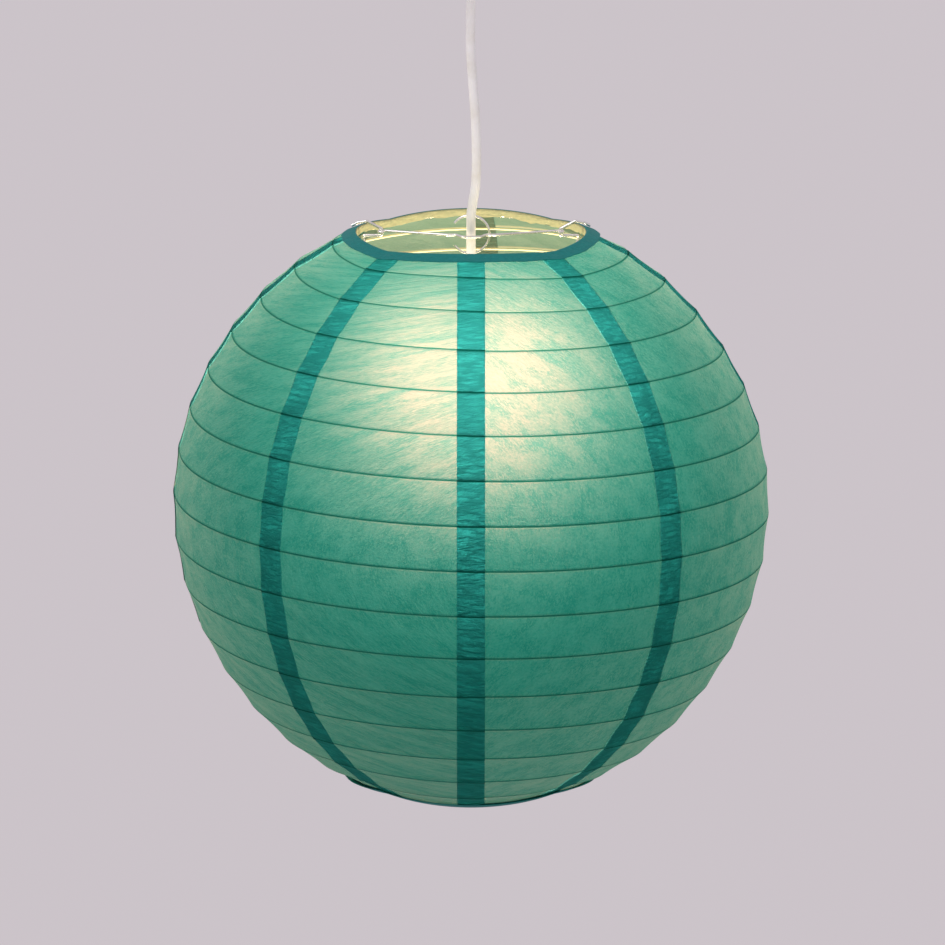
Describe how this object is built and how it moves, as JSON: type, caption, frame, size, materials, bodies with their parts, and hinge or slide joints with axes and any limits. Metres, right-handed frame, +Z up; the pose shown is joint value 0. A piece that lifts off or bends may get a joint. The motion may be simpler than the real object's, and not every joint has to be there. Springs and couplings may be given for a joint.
{
  "type": "paper lantern",
  "caption": "Round green paper lantern on a spiral wire rib and wire expander, hung from a ceiling rose by a white flex, with a lampholder and an opal bulb inside.",
  "frame": {"origin": "middle of the mounting plate's upper face, where it meets the ceiling", "axes": "+Z up, everything hangs below; -Y is the front, +X the right seen from the front"},
  "size_m": [0.3522, 0.3519, 0.5243],
  "materials": {
    "paper": "matt translucent, dyed green, fibrous",
    "hem_paper": "matt, several layers of the same paper",
    "rib_wire": "cream, matt",
    "steel_wire": "bright plated wire",
    "flex_sheath": "off-white, satin",
    "white_plastic": "off-white, satin",
    "ceramic": "white glazed",
    "brass": "bare",
    "bulb_metal": "satin, threaded",
    "black_insulator": "black, glossy",
    "opal_globe": "opal, satin, lit",
    "circuit_board": "green board",
    "zinc_steel": "zinc plated"
  },
  "bodies": {
    "ceiling": {"mounting_plate": "zinc_steel", "rose_cover": "white_plastic", "cover_screw_right": "zinc_steel", "cover_screw_left": "zinc_steel", "cord_gland": "white_plastic", "gland_nut": "white_plastic", "terminal_block": "white_plastic", "cord_tail": "flex_sheath"},
    "flex": {"power_cord": "flex_sheath"},
    "lamp": {"lampholder_cap": "white_plastic", "lampholder_cord_grip": "white_plastic", "lampholder_insulator": "ceramic", "terminal_screw_live": "brass", "terminal_screw_neutral": "brass", "lampholder_screw_shell": "brass", "lampholder_skirt": "white_plastic", "centre_contact": "brass"},
    "bulb": {"bulb_tip_contact": "bulb_metal", "bulb_base_insulator": "black_insulator", "bulb_screw_base": "bulb_metal", "bulb_collar": "white_plastic", "led_board": "circuit_board", "driver_board": "circuit_board", "bulb_globe": "opal_globe"},
    "shade": {"paper_panel_1": "paper", "paper_panel_2": "paper", "paper_panel_3": "paper", "paper_panel_4": "paper", "paper_panel_5": "paper", "paper_panel_6": "paper", "paper_panel_7": "paper", "paper_panel_8": "paper", "spiral_rib": "rib_wire", "top_ring": "steel_wire", "top_hem": "hem_paper", "expander_frame": "steel_wire", "crossbar": "steel_wire", "cord_clip": "steel_wire"},
    "foot": {"bottom_ring": "steel_wire", "bottom_hem": "hem_paper"}
  },
  "joints": [
    {"name": "swing", "type": "hinge", "parent": "ceiling", "child": "flex", "pos_m": [0, 0, -0.043], "axis": [0, 1, 0], "range_deg": [-20, 20]},
    {"name": "turn", "type": "hinge", "parent": "flex", "child": "lamp", "pos_m": [0, 0, -0.217], "axis": [0, 0, 1], "range_deg": [-180, 180]},
    {"name": "bulb_out", "type": "slide", "parent": "lamp", "child": "bulb", "axis": [0, 0, -1], "range_m": [0, 0.04]},
    {"name": "shade_slide", "type": "slide", "parent": "lamp", "child": "shade", "axis": [0, 0, 1], "range_m": [-0.0085, 0.05]},
    {"name": "shade_collapse", "type": "slide", "parent": "shade", "child": "foot", "axis": [0, 0, 1], "range_m": [0, 0.285], "deforming": ["paper_panel_1", "paper_panel_2", "paper_panel_3", "paper_panel_4", "paper_panel_5", "paper_panel_6", "paper_panel_7", "paper_panel_8", "spiral_rib"]}
  ]
}
